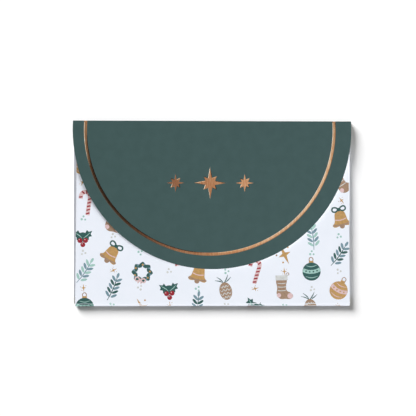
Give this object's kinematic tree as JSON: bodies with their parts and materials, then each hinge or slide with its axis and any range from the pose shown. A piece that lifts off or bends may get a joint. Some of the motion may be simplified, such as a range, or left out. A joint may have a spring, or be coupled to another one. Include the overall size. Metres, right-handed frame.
{
  "type": "gift card holder",
  "caption": "Flat folded-card pocket with glued side tabs, a slit carrier card for a plastic card, and a round foil-stamped flap that opens on a creased top fold.",
  "frame": {"origin": "middle of the rectangle under the closed holder, on the surface that its back panel lies on", "axes": "+X to the right along the top fold, +Y from the bottom fold to the top fold, +Z out of the front, through the flap"},
  "size_m": [0.1142, 0.076, 0.0034],
  "materials": {
    "printed_card": "matte",
    "green_card": "matte",
    "plain_board": "matte",
    "copper_foil": "polished",
    "clear_glue": "gloss"
  },
  "bodies": {
    "pocket": {"back_panel": "printed_card", "bottom_fold": "printed_card", "front_panel": "printed_card", "left_side_fold": "printed_card", "right_side_fold": "printed_card", "left_side_tab": "printed_card", "right_side_tab": "printed_card", "left_glue_strip": "clear_glue", "right_glue_strip": "clear_glue"},
    "spine": {"top_spine": "green_card", "spine_foil": "copper_foil"},
    "flap": {"flap": "green_card", "foil_line": "copper_foil", "foil_star_left": "copper_foil", "foil_star_centre": "copper_foil", "foil_star_right": "copper_foil", "closure_dot": "clear_glue"},
    "carrier": {"carrier_card": "plain_board"}
  },
  "joints": [
    {"name": "spine_fold", "type": "hinge", "parent": "pocket", "child": "spine", "pos_m": [0, 0.0378, 0.0002], "axis": [-1, 0, 0], "range_deg": [0, 90]},
    {"name": "flap_fold", "type": "hinge", "parent": "spine", "child": "flap", "pos_m": [0, 0.0378, 0.0032], "axis": [-1, 0, 0], "range_deg": [0, 90]},
    {"name": "carrier_slide", "type": "slide", "parent": "pocket", "child": "carrier", "axis": [0, 1, 0], "range_m": [0, 0.005]}
  ],
  "couplings": [
    {"joint": "flap_fold", "follows": "spine_fold", "ratio": 1}
  ]
}
